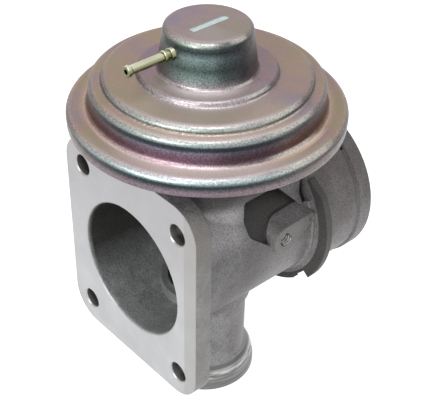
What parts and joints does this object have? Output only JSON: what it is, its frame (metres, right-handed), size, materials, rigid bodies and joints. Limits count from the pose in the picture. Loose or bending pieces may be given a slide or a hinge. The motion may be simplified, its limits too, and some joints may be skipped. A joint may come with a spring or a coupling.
{
  "type": "egr valve",
  "caption": "Vacuum-operated exhaust gas recirculation valve: cast through-duct with a bolted flange, a side exhaust neck, a lift valve and a round diaphragm actuator.",
  "frame": {"origin": "centre of the four-bolt pattern on the mounting face of the manifold flange, which is also on the duct's axis", "axes": "+Z along the valve stem towards the actuator, -Y out of the mounting face towards the manifold, +X to the side with the bracket boss"},
  "size_m": [0.1058, 0.1133, 0.1666],
  "materials": {
    "cast_aluminium": "as cast and bead blasted, machined bright on the flange, bores and clamp rim",
    "stainless_steel": "turned stainless steel",
    "bronze": "sintered bronze, turned",
    "seal_compound": "filled graphite-grey seal compound, matte",
    "gasket_fibre": "dark grey compressed fibre",
    "zinc_plated_steel": "pressed steel with an iridescent yellow zinc passivation",
    "plated_tube": "drawn steel tube, yellow-green zinc passivation",
    "screw_steel": "phosphated steel",
    "diaphragm_rubber": "fabric-reinforced black rubber",
    "pressed_steel": "clear zinc-plated pressed steel",
    "spring_steel": "bright drawn spring wire"
  },
  "bodies": {
    "housing": {"valve_body": "cast_aluminium", "seat_ring": "stainless_steel", "stem_guide": "bronze", "stem_seal": "seal_compound", "seal_retainer": "stainless_steel", "soot_shield": "stainless_steel", "actuator_gasket": "gasket_fibre", "lower_shell": "zinc_plated_steel", "upper_shell": "zinc_plated_steel", "vacuum_nipple": "plated_tube", "actuator_screws": "screw_steel", "screw_washers": "screw_steel", "diaphragm": "diaphragm_rubber", "return_spring": "spring_steel", "spring_cup": "pressed_steel"},
    "valve": {"valve_stem": "stainless_steel", "valve_disc": "stainless_steel", "lower_plate": "pressed_steel", "upper_plate": "pressed_steel", "stem_washer": "pressed_steel"}
  },
  "joints": [
    {"name": "valve_lift", "type": "slide", "parent": "housing", "child": "valve", "axis": [0, 0, 1], "range_m": [0, 0.0065], "stiffness_N_per_m": 3900, "springref_m": -0.007, "deforming": ["return_spring", "diaphragm"]}
  ]
}
